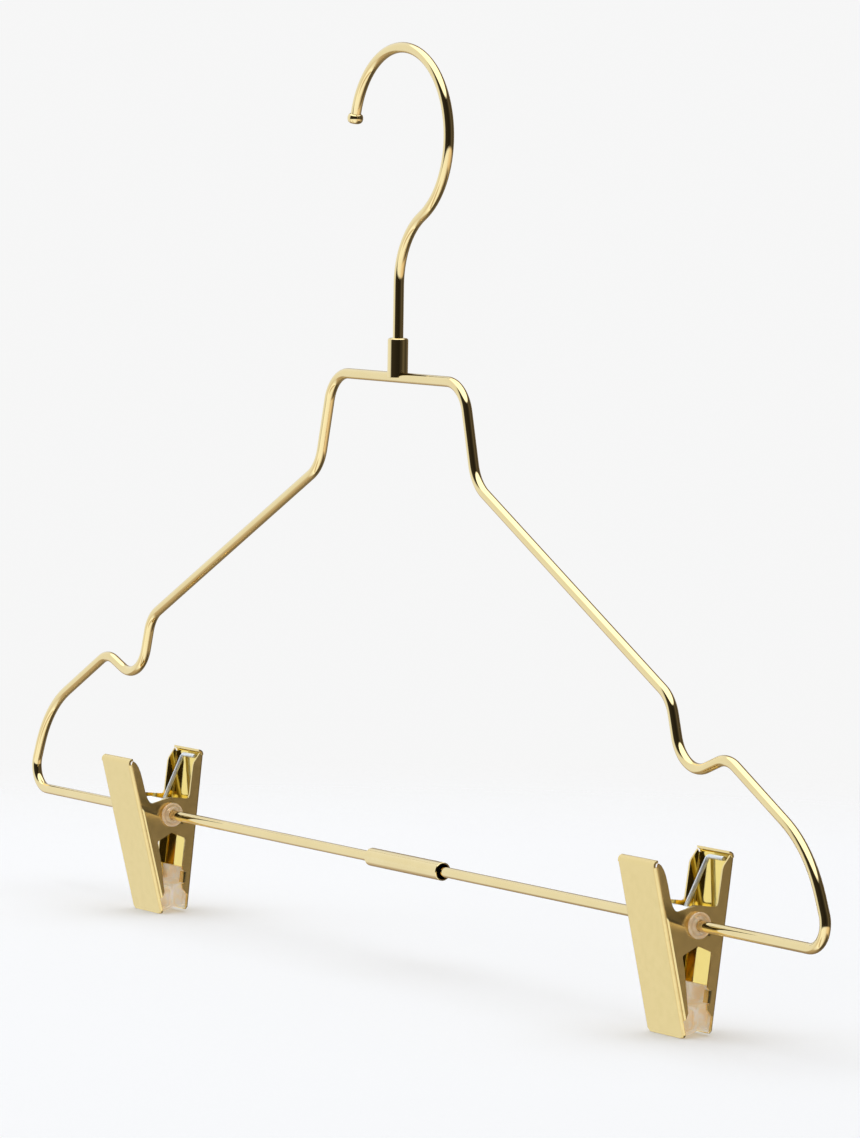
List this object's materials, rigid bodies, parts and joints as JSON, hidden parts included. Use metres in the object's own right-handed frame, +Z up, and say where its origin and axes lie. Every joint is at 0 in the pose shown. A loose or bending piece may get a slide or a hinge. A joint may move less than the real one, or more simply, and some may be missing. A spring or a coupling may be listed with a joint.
{
  "type": "clothes hanger",
  "caption": "Bent wire clothes hanger with a swivelling hook, strap notches and sprung, padded metal clips that slide along its waist bar.",
  "frame": {"origin": "crown of the hook, on the inner side of its loop, where a rail bears", "axes": "+Z up along the hook's shank, X along the waist bar, Y across the hanger's thickness, the front jaws on the -Y side"},
  "size_m": [0.3962, 0.0253, 0.2469],
  "materials": {
    "polished_gold": "polished pale gold plating on steel wire",
    "satin_gold": "satin pale gold plating on pressed steel sheet",
    "clear_pad": "soft clear frosted plastic",
    "clear_bush": "translucent moulded plastic",
    "zinc_wire": "bright zinc-plated spring wire",
    "plain_steel": "plain steel"
  },
  "bodies": {
    "hook": {"hook_wire": "polished_gold", "hook_tip_cap": "polished_gold", "swivel_washer": "plain_steel"},
    "frame": {"swivel_sleeve": "polished_gold", "frame_wire_left": "polished_gold", "frame_wire_right": "polished_gold", "joining_tube": "polished_gold"},
    "left_slider": {"left_outer_bush": "clear_bush", "left_inner_bush": "clear_bush"},
    "left_core": {"left_spacer_tube": "plain_steel", "left_spring": "zinc_wire"},
    "left_front_jaw": {"left_front_jaw": "satin_gold", "left_front_pad": "clear_pad"},
    "left_back_jaw": {"left_back_jaw": "satin_gold", "left_back_pad": "clear_pad"},
    "right_slider": {"right_outer_bush": "clear_bush", "right_inner_bush": "clear_bush"},
    "right_core": {"right_spacer_tube": "plain_steel", "right_spring": "zinc_wire"},
    "right_front_jaw": {"right_front_jaw": "satin_gold", "right_front_pad": "clear_pad"},
    "right_back_jaw": {"right_back_jaw": "satin_gold", "right_back_pad": "clear_pad"}
  },
  "joints": [
    {"name": "hook_swivel", "type": "hinge", "parent": "hook", "child": "frame", "pos_m": [0, 0, -0.0807], "axis": [0, 0, 1], "continuous": true},
    {"name": "left_clip_slide", "type": "slide", "parent": "frame", "child": "left_slider", "axis": [1, 0, 0], "range_m": [-0.0485, 0.103]},
    {"name": "left_clip_swing", "type": "hinge", "parent": "left_slider", "child": "left_core", "pos_m": [-0.126, 0, -0.2157], "axis": [1, 0, 0], "continuous": true},
    {"name": "left_front_jaw_open", "type": "hinge", "parent": "left_core", "child": "left_front_jaw", "pos_m": [-0.126, 0, -0.2157], "axis": [-1, 0, 0], "range_deg": [0, 24], "stiffness_Nm_per_rad": 0.15, "springref_deg": -28.65, "deforming": ["left_spring"]},
    {"name": "left_back_jaw_open", "type": "hinge", "parent": "left_core", "child": "left_back_jaw", "pos_m": [-0.126, 0, -0.2157], "axis": [1, 0, 0], "range_deg": [0, 24], "stiffness_Nm_per_rad": 0.15, "springref_deg": -28.65},
    {"name": "right_clip_slide", "type": "slide", "parent": "frame", "child": "right_slider", "axis": [1, 0, 0], "range_m": [-0.097, 0.0395]},
    {"name": "right_clip_swing", "type": "hinge", "parent": "right_slider", "child": "right_core", "pos_m": [0.135, 0, -0.2157], "axis": [1, 0, 0], "continuous": true},
    {"name": "right_front_jaw_open", "type": "hinge", "parent": "right_core", "child": "right_front_jaw", "pos_m": [0.135, 0, -0.2157], "axis": [-1, 0, 0], "range_deg": [0, 24], "stiffness_Nm_per_rad": 0.15, "springref_deg": -28.65, "deforming": ["right_spring"]},
    {"name": "right_back_jaw_open", "type": "hinge", "parent": "right_core", "child": "right_back_jaw", "pos_m": [0.135, 0, -0.2157], "axis": [1, 0, 0], "range_deg": [0, 24], "stiffness_Nm_per_rad": 0.15, "springref_deg": -28.65}
  ],
  "couplings": [
    {"joint": "left_back_jaw_open", "follows": "left_front_jaw_open", "ratio": 1},
    {"joint": "right_back_jaw_open", "follows": "right_front_jaw_open", "ratio": 1}
  ]
}
